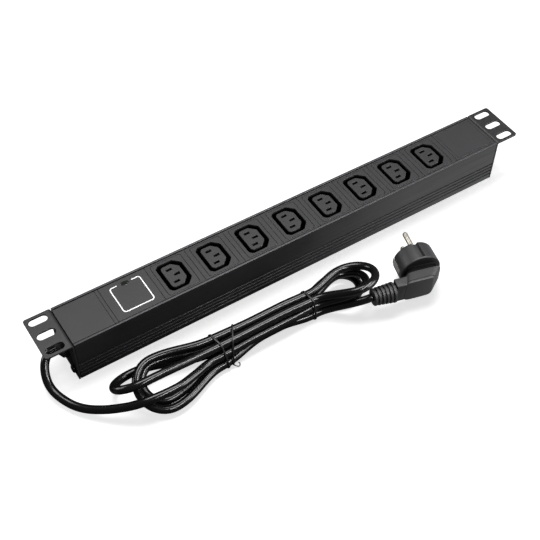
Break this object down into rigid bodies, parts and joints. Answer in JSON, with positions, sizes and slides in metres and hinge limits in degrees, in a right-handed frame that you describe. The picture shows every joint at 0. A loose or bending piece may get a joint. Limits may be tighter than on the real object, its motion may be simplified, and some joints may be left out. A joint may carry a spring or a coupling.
{
  "type": "rack power strip",
  "caption": "Black rack power strip with a row of appliance outlets, slotted ears at both ends and a tied mains lead.",
  "frame": {"origin": "on the floor under the middle of the strip, between its two ear ends", "axes": "+X along the strip away from the end where the lead enters, +Y to its back side, +Z out of the outlets"},
  "size_m": [0.4881, 0.1312, 0.0454],
  "materials": {
    "black_paint": "satin",
    "face_plastic": "satin",
    "well_plastic": "matte",
    "lens": "gloss",
    "screw_black": "satin",
    "cord_black": "gloss",
    "plug_black": "matte",
    "bright_metal": "polished",
    "contact_brass": "satin",
    "board_green": "satin",
    "varistor_blue": "satin",
    "lead_brown": "satin",
    "lead_blue": "satin",
    "lead_green": "satin"
  },
  "bodies": {
    "root": {"blank_plate": "face_plastic", "cord_gland": "plug_black", "cord_hank": "cord_black", "cord_lead_in": "cord_black", "cord_lead_out": "cord_black", "earth_bar": "contact_brass", "earth_clip_far": "bright_metal", "earth_clip_near": "bright_metal", "earth_lead": "lead_green", "end_screw_left_back": "screw_black", "end_screw_left_front": "screw_black", "end_screw_right_back": "screw_black", "end_screw_right_front": "screw_black", "gland_nut": "plug_black", "housing_channel": "black_paint", "indicator_lens": "lens", "label_plate": "face_plastic", "left_end_bracket": "black_paint", "line_bar": "contact_brass", "line_lead": "lead_brown", "neutral_bar": "contact_brass", "neutral_lead": "lead_blue", "outlet_core_1": "face_plastic", "outlet_core_2": "face_plastic", "outlet_core_3": "face_plastic", "outlet_core_4": "face_plastic", "outlet_core_5": "face_plastic", "outlet_core_6": "face_plastic", "outlet_core_7": "face_plastic", "outlet_core_8": "face_plastic", "outlet_frame_1": "well_plastic", "outlet_frame_2": "well_plastic", "outlet_frame_3": "well_plastic", "outlet_frame_4": "well_plastic", "outlet_frame_5": "well_plastic", "outlet_frame_6": "well_plastic", "outlet_frame_7": "well_plastic", "outlet_frame_8": "well_plastic", "outlet_plate_1": "face_plastic", "outlet_plate_2": "face_plastic", "outlet_plate_3": "face_plastic", "outlet_plate_4": "face_plastic", "outlet_plate_5": "face_plastic", "outlet_plate_6": "face_plastic", "outlet_plate_7": "face_plastic", "outlet_plate_8": "face_plastic", "plug_body": "plug_black", "plug_pin_lower": "bright_metal", "plug_pin_upper": "bright_metal", "plug_relief": "plug_black", "right_end_bracket": "black_paint", "surge_board": "board_green", "surge_plate": "face_plastic", "tie_left": "plug_black", "tie_middle": "plug_black", "tie_right": "plug_black", "varistor_1": "varistor_blue", "varistor_2": "varistor_blue", "varistor_3": "varistor_blue"}
  },
  "joints": []
}
